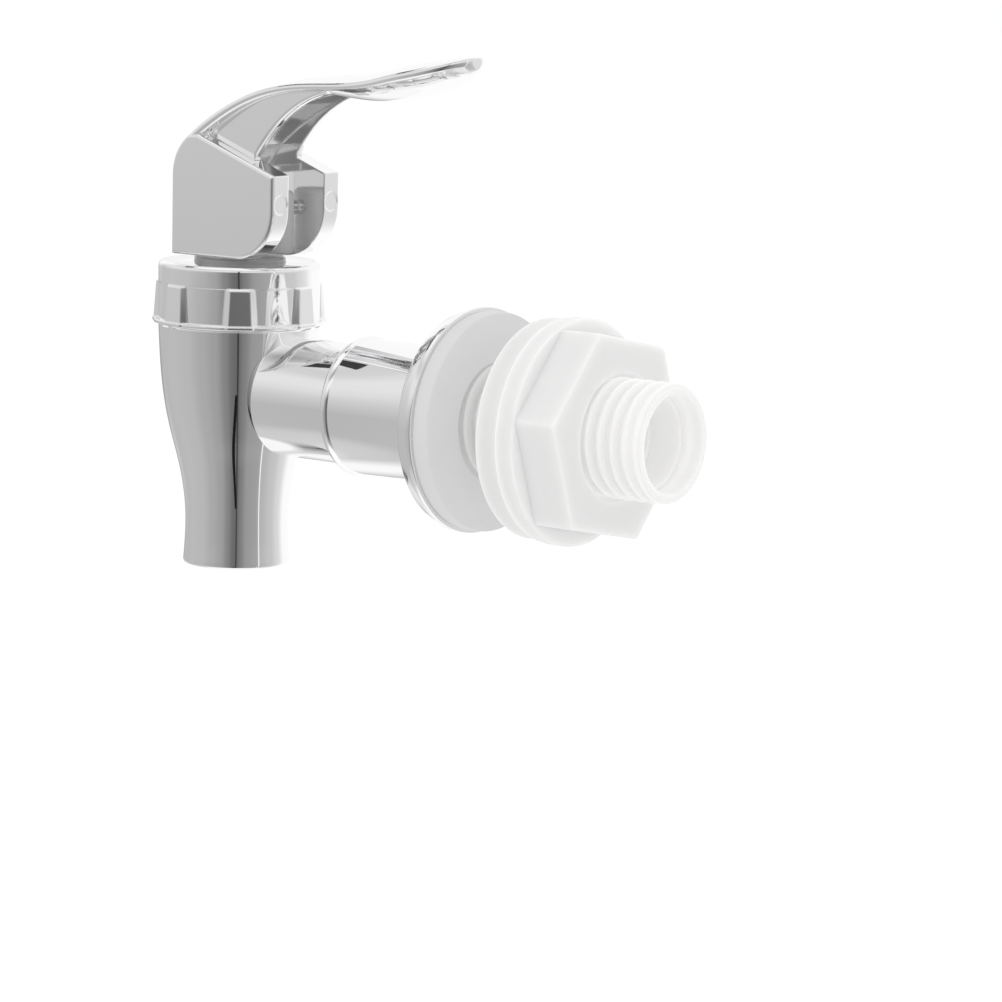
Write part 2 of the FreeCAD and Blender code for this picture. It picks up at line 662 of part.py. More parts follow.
def head_outline():
    """Side view of the cheeks: flat foot, round cam in front, straight back."""
    cam_x = HEAD_FRONT_X - HEAD_CAM_RADIUS
    cam_z = HEAD_BOTTOM_Z + HEAD_CAM_RADIUS
    diagonal = HEAD_CAM_RADIUS * math.sqrt(0.5)
    first_x, first_top, _, _, first_crown, _ = BLADE_STATIONS[0]
    foot = at_axis(cam_x, 0, HEAD_BOTTOM_Z)
    front = at_axis(HEAD_FRONT_X, 0, cam_z)
    nape = at_axis(HEAD_BACK_X, 0, HEAD_BACK_TOP_Z)
    root = at_axis(first_x, 0, first_top - first_crown)
    heel = at_axis(HEAD_BACK_X, 0, HEAD_BOTTOM_Z)
    nose = at_axis(HEAD_FRONT_X, 0, HEAD_FRONT_TOP_Z)
    ridge = at_axis(HEAD_RIDGE_X, 0, HEAD_RIDGE_Z)
    cam = Part.Arc(foot, at_axis(cam_x + diagonal, 0, cam_z - diagonal), front)
    straight = [(heel, foot), (front, nose), (nose, ridge), (ridge, root), (nape, heel)]
    edges = [cam.toShape(), bowed(nape, root, HEAD_NAPE_BULGE)]
    edges += [Part.LineSegment(a, b).toShape() for a, b in straight]
    return Part.Wire(Part.__sortEdges__(edges))


def web_block():
    """Raised part between the cheeks and the blade, narrower than both, curved in front."""
    curve = Part.BSplineCurve()
    curve.interpolate([
        at_axis(WEB_FOOT_X, 0, WEB_FOOT_Z),
        at_axis(WEB_BEND_X, 0, WEB_BEND_Z),
        at_axis(WEB_MID_X, 0, WEB_MID_Z),
        at_axis(WEB_END_X, 0, WEB_END_Z),
    ])
    corners = [at_axis(WEB_END_X, 0, WEB_END_Z), at_axis(WEB_END_X, 0, WEB_END_Z + WEB_SINK)]
    for x, top, _, edge, crown, _ in reversed(BLADE_STATIONS[:WEB_STATIONS]):
        corners.append(at_axis(x, 0, top - crown - edge / 2))
    corners.append(at_axis(HEAD_RIDGE_X, 0, HEAD_FRONT_TOP_Z))
    corners.append(at_axis(WEB_FOOT_X, 0, HEAD_FRONT_TOP_Z))
    corners.append(at_axis(WEB_FOOT_X, 0, WEB_FOOT_Z))
    edges = [curve.toShape()]
    edges += [Part.LineSegment(a, b).toShape() for a, b in zip(corners, corners[1:])]
    block = slab_y(Part.Wire(edges), -WEB_HALF_WIDTH, WEB_HALF_WIDTH)

    def beside_front(edge):
        return edge.BoundBox.YLength < NEAR and isinstance(edge.Curve, Part.BSplineCurve)

    return round_edges(block, WEB_EDGE_ROUND, beside_front)


def channel():
    """Open channel between the cheeks and webs, with the way out at the back for the stem."""
    inner_back = HEAD_BACK_X + BACK_SKIN
    outside = HEAD_BACK_X - CUT_OVERRUN
    below = HEAD_BOTTOM_Z - CUT_OVERRUN
    back = [
        at_axis(outside, 0, below),
        at_axis(outside, 0, BACK_SLOT_TOP_Z),
        at_axis(inner_back, 0, BACK_SLOT_TOP_Z),
        at_axis(inner_back, 0, HEAD_BACK_TOP_Z),
    ]
    ceiling = []
    for x, top, _, edge, crown, _ in BLADE_STATIONS[:WEB_STATIONS]:
        ceiling.append(at_axis(x + CEILING_SHIFT, 0, top - crown - edge - CEILING_DROP))
    front = [
        at_axis(WEB_END_X - CHANNEL_END_RUN, 0, WEB_END_Z - CHANNEL_END_DROP),
        at_axis(WEB_END_X, 0, WEB_END_Z - CHANNEL_MOUTH_DROP),
        at_axis(HEAD_FRONT_X + CHANNEL_MOUTH_RUN, 0, below),
    ]
    curve = Part.BSplineCurve()
    curve.interpolate(ceiling)
    straight = [ceiling[-1]] + front + back + [ceiling[0]]
    edges = [Part.LineSegment(a, b).toShape() for a, b in zip(straight, straight[1:])]
    return slab_y(Part.Wire([curve.toShape()] + edges), -CHANNEL_HALF_WIDTH, CHANNEL_HALF_WIDTH)


def front_mark(side):
    """Shallow round mark on the front of one cheek."""
    place = at_axis(HEAD_FRONT_X - FRONT_MARK_DEPTH, side * FRONT_MARK_Y, FRONT_MARK_Z)
    return Part.makeCylinder(FRONT_MARK_RADIUS, FRONT_MARK_DEPTH + CUT_OVERRUN, place, X_DIR)


def lever():
    """One-piece lever: blade, two webs and two cheeks around an open channel."""
    head = slab_y(head_outline(), -HEAD_HALF_WIDTH, HEAD_HALF_WIDTH)
    sides = [edge for edge in head.Edges if edge.BoundBox.YLength < NEAR]
    head = head.makeFillet(HEAD_EDGE_ROUND, sides)
    body = head.fuse([blade(), web_block()]).removeSplitter()
    sockets = rod_y(PIN_RADIUS + PIN_FIT, 0, PIN_Z, CHANNEL_HALF_WIDTH + PIN_SOCKET_DEPTH)
    return body.cut([channel(), sockets, front_mark(-1), front_mark(1)])


def write(name, solid):
    if solid.ShapeType == "Compound" and len(solid.Solids) == 1:
        solid = solid.Solids[0]
    solid.exportStep("parts/" + name + ".step")
    print(name, solid.ShapeType, len(solid.Solids), "valid", solid.isValid(), "volume", round(solid.Volume, 1))


os.makedirs("parts", exist_ok=True)
write("tap_body", body_casting())
write("shank", shank())
write("shank_seal", shank_seal())
write("outer_gasket", gasket(GASKET_BACK_X, OUTER_GASKET_THICKNESS))
write("inner_gasket", gasket(INNER_GASKET_X, INNER_GASKET_THICKNESS))
write("mounting_nut", mounting_nut())
write("collar", collar())
write("stem_guide", stem_guide())
write("seat_cup", seat_cup())
write("stem", stem())
write("return_spring", return_spring())
write("lever_pin", lever_pin())
write("lever", lever())
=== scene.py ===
# %% [markdown]
# A lever spigot for a drink dispenser: a chromed body with a hanging spout, a
# collar with grip pads, a thumb lever, and the threaded shank with the gaskets
# and the nut that clamp it in a tank wall. The solids come from the CAD model as
# a fixed frame, and this lesson gives them the skins and finishes of the real one.

import json
import math

import bmesh
import bpy
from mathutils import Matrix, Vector


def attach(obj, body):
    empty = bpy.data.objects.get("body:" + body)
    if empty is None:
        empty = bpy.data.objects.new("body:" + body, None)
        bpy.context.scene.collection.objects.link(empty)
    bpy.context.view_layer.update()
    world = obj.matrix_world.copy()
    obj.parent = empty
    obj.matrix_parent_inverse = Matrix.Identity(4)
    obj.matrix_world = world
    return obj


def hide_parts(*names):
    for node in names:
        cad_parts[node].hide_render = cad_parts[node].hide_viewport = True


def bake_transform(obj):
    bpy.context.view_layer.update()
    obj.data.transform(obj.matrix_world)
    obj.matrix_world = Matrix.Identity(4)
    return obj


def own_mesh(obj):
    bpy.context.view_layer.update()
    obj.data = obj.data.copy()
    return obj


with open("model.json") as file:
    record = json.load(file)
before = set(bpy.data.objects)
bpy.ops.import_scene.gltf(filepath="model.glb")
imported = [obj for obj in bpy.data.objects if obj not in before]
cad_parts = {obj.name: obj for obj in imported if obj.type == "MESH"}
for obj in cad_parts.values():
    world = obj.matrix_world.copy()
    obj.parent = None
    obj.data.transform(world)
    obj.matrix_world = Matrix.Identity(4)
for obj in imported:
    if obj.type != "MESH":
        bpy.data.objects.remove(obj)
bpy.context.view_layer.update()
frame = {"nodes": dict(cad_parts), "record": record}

# %% [markdown]
# Every length below is in millimetres, as on a maker's drawing, and is turned
# into metres only when a mesh is made. The origin is the centre of the face that
# the outer gasket lays on the tank wall. X runs along the shank into the tank, and
# the valve's upright axis stands 45.8 mm in front of the wall.

# %% Drawing units, the upright axis and the spout's end
MM = 0.001
AXIS_X = -45.8
SPOUT_END_Z = -24.5

# %% [markdown]
# The camera comes first, because everything is judged through it. Its place,
# turn and lens were worked out from the round edges in the photograph: a long
# lens, nearly level, looking at the front left of the spigot.

# %% Camera
SENSOR_WIDTH = 36.0
LENS = 147.38
CAMERA_PLACE = (332.81, -431.92, 74.19)
CAMERA_TURN_DEG = (81.1513, -1.2355, 37.7066)

camera_data = bpy.data.cameras.new("product_camera")
camera_data.sensor_width = SENSOR_WIDTH
camera_data.lens = LENS
camera = bpy.data.objects.new("product_camera", camera_data)
camera.location = Vector(CAMERA_PLACE) * MM
camera.rotation_euler = [math.radians(a) for a in CAMERA_TURN_DEG]
bpy.context.scene.collection.objects.link(camera)
bpy.context.scene.camera = camera
print("camera stands", round(camera.location.length / MM), "mm from the wall face's centre")

# %% [markdown]
# Bare chrome has no colour of its own. What it shows is the room, so the room is
# part of the finish. Here the room is a white tent. Camera, mirror and glass rays
# all see it as plain white, while the light that falls on the plastics is a
# little lower, so that no pale plastic burns out to white.

# %% White tent
TENT_LIGHT = 0.9


def link(tree, source, socket, target, into):
    """Join one node's output to another node's input."""
    tree.links.new(source.outputs[socket], target.inputs[into])


def ray_mask(tree):
    """Value that is 1 for camera, mirror and glass rays, and 0 for the rest."""
    path = tree.nodes.new("ShaderNodeLightPath")
    first = tree.nodes.new("ShaderNodeMath")
    first.operation = "MAXIMUM"
    second = tree.nodes.new("ShaderNodeMath")
    second.operation = "MAXIMUM"
    link(tree, path, "Is Camera Ray", first, 0)
    link(tree, path, "Is Glossy Ray", first, 1)
    link(tree, first, 0, second, 0)
    link(tree, path, "Is Transmission Ray", second, 1)
    return second


world = bpy.data.worlds.new("white_tent")
bpy.context.scene.world = world
world.use_nodes = True
tree = world.node_tree
falling = tree.nodes["Background"]
falling.inputs["Strength"].default_value = TENT_LIGHT
falling.inputs["Color"].default_value = (1, 1, 1, 1)
seen = tree.nodes.new("ShaderNodeBackground")
seen.inputs["Color"].default_value = (1, 1, 1, 1)
choose = tree.nodes.new("ShaderNodeMixShader")
link(tree, ray_mask(tree), 0, choose, 0)
link(tree, falling, 0, choose, 1)
link(tree, seen, 0, choose, 2)
link(tree, choose, 0, tree.nodes["World Output"], "Surface")
bpy.context.scene.view_settings.view_transform = "Standard"
print("tent light on the plastics:", TENT_LIGHT)

# %% [markdown]
# The floor is plain white paper well below the spout, so its shadow is faint. Its
# surface is an ordinary matt one that takes the shadow. A little light of its own,
# for camera and mirror rays only, lifts the paper to the white of the tent.

# %% Floor
FLOOR_Z = -420.0
FLOOR_HALF = 6000.0
PAPER = 0.86
PAPER_LIFT = 0.25


def flat_sheet(name, corners, material):
    """Stage sheet from corner points in millimetres."""
    mesh = bpy.data.meshes.new(name)
    mesh.from_pydata([Vector(p) * MM for p in corners], [], [tuple(range(len(corners)))])
    mesh.materials.append(material)
    sheet = bpy.data.objects.new(name, mesh)
    bpy.context.scene.collection.objects.link(sheet)
    return sheet


paper = bpy.data.materials.new("white_paper")
paper.use_nodes = True
tree = paper.node_tree
shader = tree.nodes["Principled BSDF"]
shader.inputs["Base Color"].default_value = (PAPER, PAPER, PAPER, 1)
shader.inputs["Roughness"].default_value = 1.0
shader.inputs["Specular IOR Level"].default_value = 0.0
shader.inputs["Emission Color"].default_value = (1, 1, 1, 1)
lift = tree.nodes.new("ShaderNodeMath")
lift.operation = "MULTIPLY"
lift.inputs[1].default_value = PAPER_LIFT
link(tree, ray_mask(tree), 0, lift, 0)
link(tree, lift, 0, shader, "Emission Strength")
flat_sheet("floor", [
    (-FLOOR_HALF, -FLOOR_HALF, FLOOR_Z),
    (FLOOR_HALF, -FLOOR_HALF, FLOOR_Z),
    (FLOOR_HALF, FLOOR_HALF, FLOOR_Z),
    (-FLOOR_HALF, FLOOR_HALF, FLOOR_Z),
], paper)
print("floor lies", SPOUT_END_Z - FLOOR_Z, "mm below the spout")

# %% [markdown]
# Chrome in an all-white tent looks like paper. A photographer hangs grey and
# black cards round it, out of the picture, and their reflections draw its form.
# One tall curved screen goes round the front left. Its grey changes with the
# compass direction, lightest behind the spigot and darkest where the camera
# stands, and fades towards its upper and lower edges. Its foot closes in like a
# bowl, so that it stays above the floor. The screen and the cards are seen by
# mirror rays only, so they take no light from the plastics.

# %% Grey screen round the front
SCREEN_RADIUS = 420.0
SCREEN_STEPS = 96
SCREEN_GREYS = [
    (-232, 0.30), (-214, 0.34), (-196, 0.50), (-160, 0.52), (-131, 0.50), (-104, 0.42),
    (-84, 0.36), (-68, 0.24), (-58, 0.16), (-50, 0.14), (-42, 0.22), (-28, 0.33), (-8, 0.36),
    (4, 0.48), (30, 0.58), (50, 0.72), (72, 1.0),
]
SCREEN_ROWS = [
    # slope in degrees above the level, then how far it has faded to white
    # at the side, behind the spigot, and where the camera stands
    (-60, 1.0, 1.0, 1.0), (-55, 0.55, 1.0, 0.5), (-51, 0.3, 1.0, 0.2), (-43, 0.22, 1.0, 0.1),
    (-36, 0.0, 1.0, 0.0), (-22, 0.0, 0.5, 0.0), (-8, 0.0, 0.0, 0.0), (2, 0.16, 0.6, 0.0),
    (10, 0.3, 1.0, 0.02), (18, 0.5, 1.0, 0.5), (26, 0.62, 1.0, 1.0), (34, 0.62, 1.0, 1.0),
    (41, 0.35, 1.0, 0.3), (46, 0.3, 1.0, 0.2), (53, 0.6, 1.0, 0.6), (60, 1.0, 1.0, 1.0),
]
BOWL_DEPTH = 405.0
BEHIND_FROM = -188
BEHIND_TO = -205
CAMERA_SIDE = -50
CAMERA_NEAR = 18
CAMERA_FAR = 55


def share_between(value, start, end):
    """0 before the start, 1 past the end, whichever way they lie."""
    return min(max((value - start) / (end - start), 0), 1)


def around(azimuth_deg, elevation_deg, radius):
    """Point at a compass direction and a slope above the level, round the body."""
    azimuth = math.radians(azimuth_deg)
    rise = radius * math.tan(math.radians(elevation_deg))
    return (AXIS_X + radius * math.cos(azimuth), radius * math.sin(azimuth), rise)


def mirror_only(sheet):
    """Hide a card from everything but mirror rays."""
    sheet.visible_camera = False
    sheet.visible_diffuse = False
    sheet.visible_shadow = False
    sheet.visible_transmission = False
    sheet.visible_volume_scatter = False


def glowing(name, grey):
    """Finish of a card of one grey, and the node that gives it its light."""
    mat = bpy.data.materials.new(name)
    mat.use_nodes = True
    tree = mat.node_tree
    tree.nodes.remove(tree.nodes["Principled BSDF"])
    glow = tree.nodes.new("ShaderNodeEmission")
    glow.inputs["Color"].default_value = (grey, grey, grey, 1)
    link(tree, glow, 0, tree.nodes["Material Output"], "Surface")
    return mat, glow


def screen_grey(azimuth_deg):
    """Grey of the screen at one compass direction."""
    for (a0, g0), (a1, g1) in zip(SCREEN_GREYS, SCREEN_GREYS[1:]):
        if azimuth_deg <= a1:
            share = (azimuth_deg - a0) / (a1 - a0)
            share = share * share * (3 - 2 * share)
            return g0 + (g1 - g0) * share
    return SCREEN_GREYS[-1][1]


def curved_screen():
    """Curved sheet whose greys are kept at its corners as a colour attribute."""
    first = SCREEN_GREYS[0][0]
    last = SCREEN_GREYS[-1][0]
    points = []
    greys = []
    for k in range(SCREEN_STEPS + 1):
        azimuth = first + (last - first) * k / SCREEN_STEPS
        base = screen_grey(azimuth)
        behind = share_between(azimuth, BEHIND_FROM, BEHIND_TO)
        camera_share = share_between(abs(azimuth - CAMERA_SIDE), CAMERA_FAR, CAMERA_NEAR)
        for slope, side_fade, back_fade, camera_fade in SCREEN_ROWS:
            radius = SCREEN_RADIUS
            if slope < 0:
                radius = min(radius, BOWL_DEPTH / math.tan(math.radians(-slope)))
            points.append(Vector(around(azimuth, slope, radius)) * MM)
            fade = side_fade + (back_fade - side_fade) * behind
            fade += (camera_fade - side_fade) * camera_share
            greys.append(base + (1 - base) * fade)
    rows = len(SCREEN_ROWS)
    faces = []
    for k in range(SCREEN_STEPS):
        for j in range(rows - 1):
            corner = k * rows + j
            faces.append((corner, corner + rows, corner + rows + 1, corner + 1))
    mesh = bpy.data.meshes.new("grey_screen")
    mesh.from_pydata(points, [], faces)
    shade = mesh.color_attributes.new("grey", "FLOAT_COLOR", "POINT")
    for k, grey in enumerate(greys):
        shade.data[k].color = (grey, grey, grey, 1)
    mat, glow = glowing("screen_greys", 0.5)
    greys_node = mat.node_tree.nodes.new("ShaderNodeAttribute")
    greys_node.attribute_name = "grey"
    link(mat.node_tree, greys_node, "Color", glow, "Color")
    mesh.materials.append(mat)
    screen = bpy.data.objects.new("grey_screen", mesh)
    bpy.context.scene.collection.objects.link(screen)
    return screen


mirror_only(curved_screen())
print("screen turns from", SCREEN_GREYS[0][0], "to", SCREEN_GREYS[-1][0], "degrees")

# %% [markdown]
# Narrow cards draw the sharp lines that say "polished". One thin upright card
# beside the camera gives the dark line down the body, with a slanting foot low
# down for the tapered spout. One long bar behind gives the dark band along the
# arm's top, and one thin white card gives the bright line at the body's right.

# %% Narrow cards
CARD_BLACK = 0.012
CARD_DARK = 0.05
CARD_WHITE = 1.0
CARD_RADIUS = 400.0
NARROW_CARDS = [
    # name and grey, then the lowest slope with its first and last direction,
    # and the same three for the highest slope
    ("line_card", CARD_DARK, (-55, -51.5, -49.0), (32, -51.5, -49.0)),
    ("foot_card", CARD_BLACK, (-46, -64.0, -57.0), (-21, -54.0, -50.0)),
    ("bar_card", CARD_DARK, (46, 160, 200), (54, 160, 200)),
    ("white_card", CARD_WHITE, (-50, -1.2, 1.0), (40, -1.2, 1.0)),
]

for name, grey, (low, low_first, low_last), (high, high_first, high_last) in NARROW_CARDS:
    mat, glow = glowing(name + "_finish", grey)
    corners = [(low_first, low), (low_last, low), (high_last, high), (high_first, high)]
    mirror_only(flat_sheet(name, [around(a, s, CARD_RADIUS) for a, s in corners], mat))
print(len(NARROW_CARDS), "narrow cards")

# %% [markdown]
# One wide soft lamp high in front gives the plastics their form. It is kept
# out of mirror rays, because the cards already draw what the chrome shows.

# %% Soft lamp
LAMP_WATTS = 0.4
LAMP_WIDTH = 600.0
LAMP_PLACE = (150, -450, 480)

lamp_data = bpy.data.lights.new("soft_lamp", "AREA")
lamp_data.energy = LAMP_WATTS
lamp_data.size = LAMP_WIDTH * MM
lamp = bpy.data.objects.new("soft_lamp", lamp_data)
lamp.location = Vector(LAMP_PLACE) * MM
lamp.rotation_euler = (Vector((0, 0, 0)) - lamp.location).to_track_quat("-Z", "Y").to_euler()
lamp.visible_glossy = False
bpy.context.scene.collection.objects.link(lamp)
print("lamp", LAMP_WATTS, "W")

# %% [markdown]
# Two kinds of finish cover the whole spigot. The chrome is nickel and chromium
# plated over moulded plastic, so its skin has a very slight long wave from the
# moulding and a trace of haze. The plastics and the silicones are matt to
# satin: a fine grain bends the light, and colour and gloss drift a little.

# %% Finish helpers
NOISE_LOW = 0.3
NOISE_HIGH = 0.7


def noise_at(tree, grain_mm, detail):
    """Noise with bumps of about one size, fixed to the piece."""
    place = tree.nodes.new("ShaderNodeTexCoord")
    noise = tree.nodes.new("ShaderNodeTexNoise")
    noise.inputs["Scale"].default_value = 1 / (grain_mm * MM)
    noise.inputs["Detail"].default_value = detail
    link(tree, place, "Object", noise, "Vector")
    return noise


def spread(tree, noise, low, high):
    """Noise spread between two values."""
    span = tree.nodes.new("ShaderNodeMapRange")
    span.inputs["From Min"].default_value = NOISE_LOW
    span.inputs["From Max"].default_value = NOISE_HIGH
    span.inputs["To Min"].default_value = low
    span.inputs["To Max"].default_value = high
    link(tree, noise, "Fac", span, "Value")
    return span


def raise_grain(tree, noise, height_mm, strength, onto):
    """Bump of a given height from a noise."""
    bump = tree.nodes.new("ShaderNodeBump")
    bump.inputs["Distance"].default_value = height_mm * MM
    bump.inputs["Strength"].default_value = strength
    link(tree, noise, "Fac", bump, "Height")
    link(tree, bump, 0, onto, "Normal")
    return bump


def new_finish(name):
    """Material with its shader ready."""
    mat = bpy.data.materials.new(name)
    mat.use_nodes = True
    return mat, mat.node_tree, mat.node_tree.nodes["Principled BSDF"]


# %% [markdown]
# Between the lever's cheeks the chrome mirrors itself many times over, more often
# than the renderer follows. A faint glow that appears only in deep hollows
# stands for that lost light, so the channel is dark grey, not black.

# %% Metal finishes
HOLLOW_REACH = 14.0
HOLLOW_OPENNESS = 0.45
HOLLOW_GLOW = 0.075
HAZE_MM = 1.6
EDGE_SAMPLES = 8
CHROME = {"colour": (0.94, 0.94, 0.945), "wave_mm": 14.0, "wave_height_mm": 0.03}
STEEL = {"colour": (0.58, 0.57, 0.56), "wave_mm": 2.0, "wave_height_mm": 0.004}


def bright(name, haze_low, haze_high, colour, wave_mm, wave_height_mm, edge_mm=0.0):
    """Bright metal with a long wave in its skin, a trace of haze and edges softened by plating."""
    mat, tree, shader = new_finish(name)
    shader.inputs["Metallic"].default_value = 1.0
    shader.inputs["Base Color"].default_value = (*colour, 1)
    haze = noise_at(tree, HAZE_MM, detail=3.0)
    link(tree, spread(tree, haze, haze_low, haze_high), 0, shader, "Roughness")
    long_wave = noise_at(tree, wave_mm, detail=1.0)
    wave = raise_grain(tree, long_wave, wave_height_mm, 1.0, shader)
    if edge_mm:
        edge = tree.nodes.new("ShaderNodeBevel")
        edge.samples = EDGE_SAMPLES
        edge.inputs["Radius"].default_value = edge_mm * MM
        link(tree, edge, 0, wave, "Normal")
    hollow = tree.nodes.new("ShaderNodeAmbientOcclusion")
    hollow.inputs["Distance"].default_value = HOLLOW_REACH * MM
    glow = tree.nodes.new("ShaderNodeMapRange")
    glow.inputs["From Min"].default_value = HOLLOW_OPENNESS
    glow.inputs["From Max"].default_value = 0.0
    glow.inputs["To Max"].default_value = HOLLOW_GLOW
    link(tree, hollow, "AO", glow, "Value")
    link(tree, glow, 0, shader, "Emission Strength")
    shader.inputs["Emission Color"].default_value = (1, 1, 1, 1)
    return mat


chrome = bright("chrome_plating", haze_low=0.02, haze_high=0.05, **CHROME)
soft_edged_chrome = bright("soft_edged_chrome", haze_low=0.03, haze_high=0.06, edge_mm=0.35, **CHROME)
steel = bright("spring_steel", haze_low=0.16, haze_high=0.3, **STEEL)
print("metals:", chrome.name, soft_edged_chrome.name, steel.name)

# %% [markdown]
# The plastics and silicones are pale and let light through. Soft light spreads
# inside them, and a share of their own colour stands for the light of the tent
# that comes through from behind. The guide under the lever is glossy, lets nothing
# through and shows mid grey in the tent. The lever and the collar have sharp
# edges, which their plating rounds a little.

# %% Plastic and silicone finishes
DRIFT_MM = 7.0
ROUGHNESS_DRIFT = 0.06
GRAIN_STRENGTH = 0.5
SOFT_LIGHT_SHARE = 0.85
SOFT_LIGHT_TINT = (1.0, 0.97, 0.94)
SHARP_EDGED_PIECES = ("lever", "collar")


def moulded(name, colour, drift, roughness, grain_mm, grain_height_mm, glow_depth_mm, through=0.0):
    """Moulded plastic or silicone with grain, gloss drift, soft light inside and light let through."""
    mat, tree, shader = new_finish(name)
    slow = noise_at(tree, DRIFT_MM, detail=2.0)
    tint = tree.nodes.new("ShaderNodeMix")
    tint.data_type = "RGBA"
    tint.inputs["A"].default_value = (*[c * (1 - drift) for c in colour], 1)
    tint.inputs["B"].default_value = (*colour, 1)
    link(tree, slow, "Fac", tint, "Factor")
    link(tree, tint, "Result", shader, "Base Color")
    grain = noise_at(tree, grain_mm, detail=4.0)
    gloss = spread(tree, grain, roughness - ROUGHNESS_DRIFT, roughness + ROUGHNESS_DRIFT)
    link(tree, gloss, 0, shader, "Roughness")
    raise_grain(tree, grain, grain_height_mm, GRAIN_STRENGTH, shader)
    if glow_depth_mm:
        shader.inputs["Subsurface Weight"].default_value = SOFT_LIGHT_SHARE
        shader.inputs["Subsurface Radius"].default_value = SOFT_LIGHT_TINT
        shader.inputs["Subsurface Scale"].default_value = glow_depth_mm * MM
    if through:
        link(tree, tint, "Result", shader, "Emission Color")
        shader.inputs["Emission Strength"].default_value = through
    return mat


FINISH = {
    "chrome_plating": chrome,
    "steel": steel,
    "frosted_plastic": moulded(
        "frosted_plastic", (0.52, 0.52, 0.518), drift=0.02, roughness=0.5,
        grain_mm=0.25, grain_height_mm=0.006, glow_depth_mm=4.0, through=0.65),
    "grey_silicone": moulded(
        "grey_silicone", (0.45, 0.45, 0.45), drift=0.05, roughness=0.55,
        grain_mm=0.18, grain_height_mm=0.012, glow_depth_mm=0.0, through=0.66),
    "clear_silicone": moulded(
        "clear_silicone", (0.51, 0.51, 0.508), drift=0.03, roughness=0.5,
        grain_mm=0.2, grain_height_mm=0.012, glow_depth_mm=4.0, through=0.62),
    "dark_plastic": moulded(
        "dark_plastic", (0.4, 0.4, 0.405), drift=0.1, roughness=0.22,
        grain_mm=0.2, grain_height_mm=0.006, glow_depth_mm=0.0),
    "white_plastic": moulded(
        "white_plastic", (0.82, 0.82, 0.81), drift=0.03, roughness=0.35,
        grain_mm=0.3, grain_height_mm=0.008, glow_depth_mm=0.6),
}
slot_of = {s["node"]: s["material_slot"] for s in frame["record"]["subparts"]}
for name, node in frame["nodes"].items():
    node.data.materials.clear()
    node.data.materials.append(FINISH[slot_of[name]])
for name in SHARP_EDGED_PIECES:
    frame["nodes"][name].modifiers.new("even_normals", "WEIGHTED_NORMAL").keep_sharp = True
    frame["nodes"][name].data.materials[0] = soft_edged_chrome
print("finishes:", sorted(FINISH))

# %% [markdown]
# A turned piece is a flat profile spun round an axis. A real moulding has no
# knife edges, so each corner of a profile is given a small round first. The
# pieces below share these few helpers.

# %% Mesh helpers
ROUND_STEPS = 4
MERGE_MM = 0.001
SHARP_DEG = 40
NEAR_AXIS = 0.01


def eased(corners):
    """Closed profile whose corners (along, radius, round) are cut by small curves."""
    out = []
    count = len(corners)
    for k, (along, radius, ease) in enumerate(corners):
        here = Vector((along, radius))
        if not ease:
            out.append(tuple(here))
            continue
        before = Vector(corners[k - 1][:2]) - here
        after = Vector(corners[(k + 1) % count][:2]) - here
        start = here + before.normalized() * ease
        end = here + after.normalized() * ease
        for j in range(ROUND_STEPS + 1):
            t = j / ROUND_STEPS
            out.append(tuple((1 - t) ** 2 * start + 2 * t * (1 - t) * here + t * t * end))
    return out


def ring_faces(rows, columns, closed):
    """Quads between rings of points, and back to the first ring when closed."""
    faces = []
    for i in range(rows if closed else rows - 1):
        below = i * columns
        above = ((i + 1) % rows) * columns
        for j in range(columns):
            k = (j + 1) % columns
            faces.append((below + j, below + k, above + k, above + j))
    return faces


def closed_mesh(name, points, faces, merge_mm=0.0):
    """Mesh with outward faces from points in millimetres, near points merged when asked."""
    mesh = bpy.data.meshes.new(name)
    mesh.from_pydata([Vector(p) * MM for p in points], [], faces)
    shell = bmesh.new()
    shell.from_mesh(mesh)
    if merge_mm:
        bmesh.ops.remove_doubles(shell, verts=shell.verts, dist=merge_mm * MM)
    bmesh.ops.recalc_face_normals(shell, faces=shell.faces)
    shell.to_mesh(mesh)
    shell.free()
    return mesh


def make_piece(name, points, faces, body, node, sharp_deg=SHARP_DEG):
    """Piece in a node's finish, which stands for the node and rides on a body, if one is named."""
    mesh = closed_mesh(name, points, faces, MERGE_MM)
    mesh.shade_smooth()
    mesh.set_sharp_from_angle(angle=math.radians(sharp_deg))
    mesh.materials.append(FINISH[slot_of[node]])
    piece = bpy.data.objects.new(name, mesh)
    bpy.context.scene.collection.objects.link(piece)
    if body:
        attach(piece, body)
    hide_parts(node)
    print(name, len(mesh.polygons), "faces")
    return piece


# %% [markdown]
# The body is two turned forms that grow into one another: the bulb with its spout
# and neck round the upright axis, and the arm with its ring, sleeve and flange
# round the shank axis. Such forms need three things: a smooth curve through a
# few radii, an arc, and a way to cut one form out of another.

# %% Turned and cut forms
BODY_COLUMNS = 160
FINE_ROUND = 0.12


